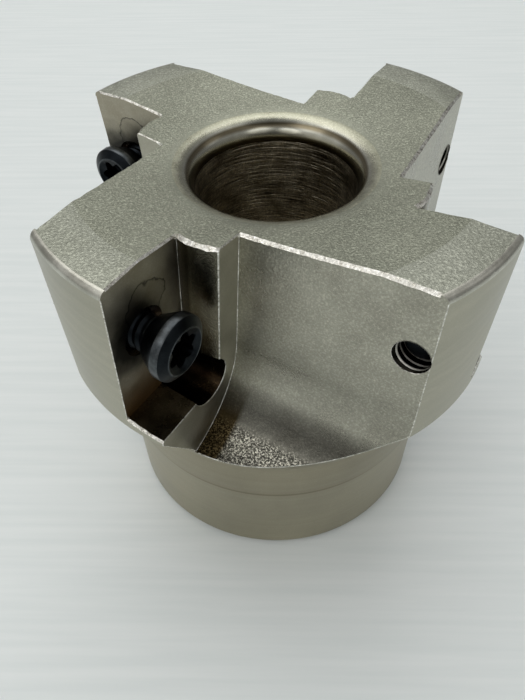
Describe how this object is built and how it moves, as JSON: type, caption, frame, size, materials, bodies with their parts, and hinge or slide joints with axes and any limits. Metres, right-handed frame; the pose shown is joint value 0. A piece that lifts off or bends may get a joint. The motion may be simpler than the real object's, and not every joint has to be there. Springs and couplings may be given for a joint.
{
  "type": "indexable face mill",
  "caption": "Round steel milling cutter body with tilted insert pockets, chip gullets, arbor bore with drive slot, and star-socket insert screws.",
  "frame": {"origin": "centre of the hub face, which meets the arbor's shoulder", "axes": "+Z along the cutter axis towards the cutting end; +X along the drive slot; the first insert seat is at 239 degrees from +X, the others 90 degrees on"},
  "size_m": [0.0392, 0.0392, 0.04],
  "materials": {
    "nickelled_steel": "satin",
    "black_oxide_steel": "satin"
  },
  "bodies": {
    "cutter_body": {"cutter_body": "nickelled_steel"},
    "insert_screw_1": {"insert_screw_1": "black_oxide_steel"},
    "insert_screw_2": {"insert_screw_2": "black_oxide_steel"},
    "insert_screw_3": {"insert_screw_3": "black_oxide_steel"},
    "insert_screw_4": {"insert_screw_4": "black_oxide_steel"}
  },
  "joints": [
    {"name": "insert_screw_1_travel", "type": "slide", "parent": "cutter_body", "child": "insert_screw_1", "axis": [0.8569, -0.5149, -0.0244], "range_m": [-0.0014, 0.0063]},
    {"name": "insert_screw_2_travel", "type": "slide", "parent": "cutter_body", "child": "insert_screw_2", "axis": [0.5149, 0.8569, -0.0244], "range_m": [-0.0007, 0.007]},
    {"name": "insert_screw_3_travel", "type": "slide", "parent": "cutter_body", "child": "insert_screw_3", "axis": [-0.8569, 0.5149, -0.0244], "range_m": [-0.0007, 0.007]},
    {"name": "insert_screw_4_travel", "type": "slide", "parent": "cutter_body", "child": "insert_screw_4", "axis": [-0.5149, -0.8569, -0.0244], "range_m": [-0.00105, 0.00665]}
  ]
}
